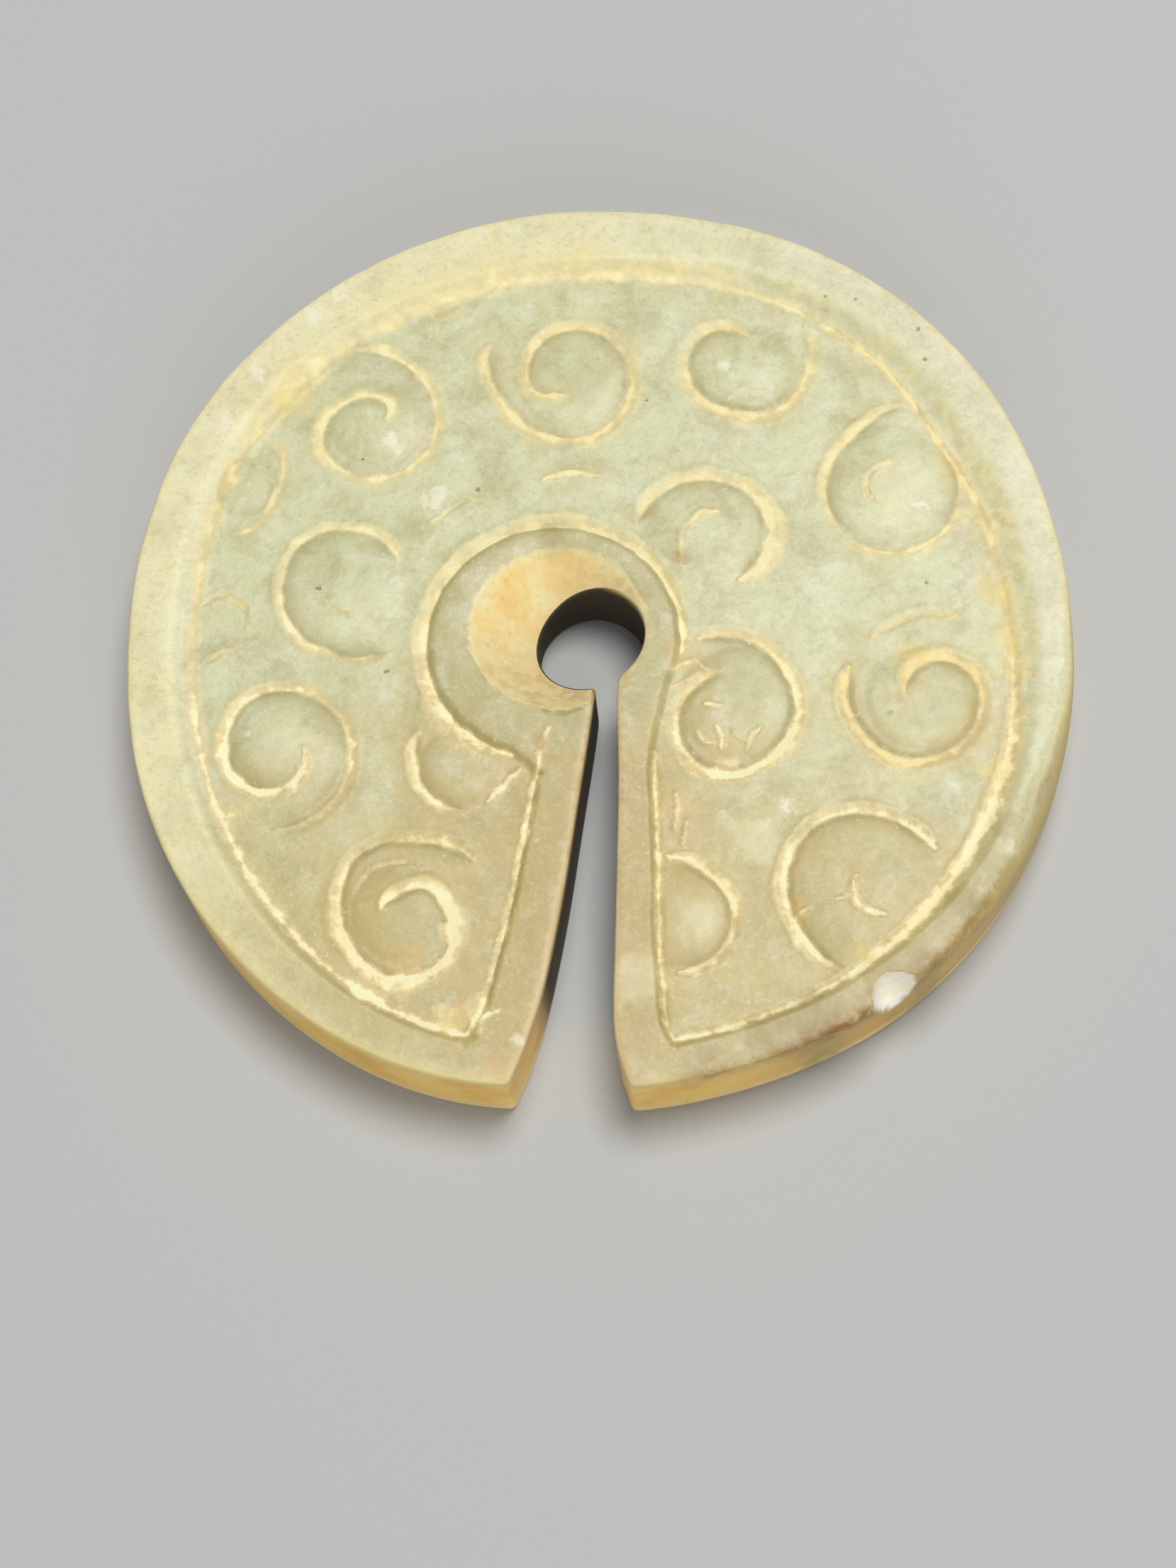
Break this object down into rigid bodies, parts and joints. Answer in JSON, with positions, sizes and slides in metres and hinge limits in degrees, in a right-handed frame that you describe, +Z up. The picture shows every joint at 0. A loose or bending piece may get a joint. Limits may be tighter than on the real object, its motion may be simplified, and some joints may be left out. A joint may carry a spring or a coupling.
{
  "type": "jade slit ring",
  "caption": "Flat carved jade disc with a drilled hole off a wider countersink, a slit out to the rim, and low curls in a sunk field.",
  "frame": {"origin": "middle of the bounding box of the plain back, on the surface it lies on", "axes": "+Z up out of the carved face, -Y along the slit towards its mouth, +X to the right seen from above with the slit towards the viewer"},
  "size_m": [0.0392, 0.04, 0.004],
  "materials": {
    "jade": "polished nephrite, pale green and buff, worn, with cream deposit in the carving"
  },
  "bodies": {
    "root": {"slit_ring": "jade"}
  },
  "joints": []
}
